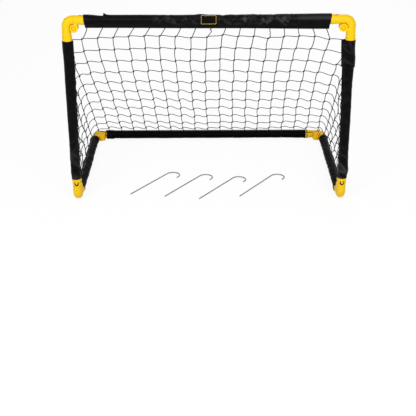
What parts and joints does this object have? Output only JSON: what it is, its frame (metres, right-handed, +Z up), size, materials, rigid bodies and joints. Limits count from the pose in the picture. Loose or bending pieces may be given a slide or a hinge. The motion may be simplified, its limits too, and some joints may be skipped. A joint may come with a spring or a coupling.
{
  "type": "folding mini goal",
  "caption": "Folding mini goal of fabric-covered tubes joined by two-part folding elbows, with a sloping knotted net and hooked ground pegs.",
  "frame": {"origin": "middle of the footprint, on the ground", "axes": "+X to the right along the crossbar, +Y from the mouth to the rear bar, +Z up"},
  "size_m": [0.9, 0.6, 0.62],
  "materials": {
    "black_tube": "semi-gloss black powder coat",
    "yellow_elbow": "moulded yellow plastic, satin",
    "black_sleeve": "coated woven polyester",
    "label": "plain woven label with a stitched border",
    "net_cord": "twisted polyethylene cord",
    "peg_steel": "drawn wire"
  },
  "bodies": {
    "ground_frame": {"left_side_tube": "black_tube", "right_side_tube": "black_tube", "rear_tube": "black_tube", "front_left_bend": "yellow_elbow", "front_right_fork": "yellow_elbow", "front_right_pin": "yellow_elbow", "rear_left_bend": "yellow_elbow", "rear_left_fork": "yellow_elbow", "rear_left_pin": "yellow_elbow", "rear_right_bend": "yellow_elbow", "rear_right_fork": "yellow_elbow", "rear_right_pin": "yellow_elbow", "left_side_sleeve": "black_sleeve", "right_side_sleeve": "black_sleeve", "rear_sleeve": "black_sleeve", "net_back": "net_cord", "net_left": "net_cord", "net_right": "net_cord"},
    "front_frame": {"crossbar_tube": "black_tube", "left_post_tube": "black_tube", "right_post_tube": "black_tube", "crossbar_sleeve": "black_sleeve", "left_post_sleeve": "black_sleeve", "right_post_sleeve": "black_sleeve", "blank_label": "label", "top_left_bend": "yellow_elbow", "top_left_fork": "yellow_elbow", "top_left_pin": "yellow_elbow", "top_right_bend": "yellow_elbow", "top_right_fork": "yellow_elbow", "top_right_pin": "yellow_elbow", "front_left_fork": "yellow_elbow", "front_left_pin": "yellow_elbow", "front_right_bend": "yellow_elbow"},
    "peg_1_body": {"peg_1": "peg_steel"},
    "peg_2_body": {"peg_2": "peg_steel"},
    "peg_3_body": {"peg_3": "peg_steel"},
    "peg_4_body": {"peg_4": "peg_steel"}
  },
  "joints": [
    {"name": "goal_fold", "type": "hinge", "parent": "ground_frame", "child": "front_frame", "pos_m": [0, -0.25975, 0.04025], "axis": [-1, 0, 0], "range_deg": [0, 90], "deforming": ["net_back", "net_left", "net_right"]},
    {"name": "peg_1_lift", "type": "slide", "parent": "ground_frame", "child": "peg_1_body", "axis": [0, 0, 1], "range_m": [0, 0.03]},
    {"name": "peg_2_lift", "type": "slide", "parent": "ground_frame", "child": "peg_2_body", "axis": [0, 0, 1], "range_m": [0, 0.03]},
    {"name": "peg_3_lift", "type": "slide", "parent": "ground_frame", "child": "peg_3_body", "axis": [0, 0, 1], "range_m": [0, 0.03]},
    {"name": "peg_4_lift", "type": "slide", "parent": "ground_frame", "child": "peg_4_body", "axis": [0, 0, 1], "range_m": [0, 0.03]}
  ]
}
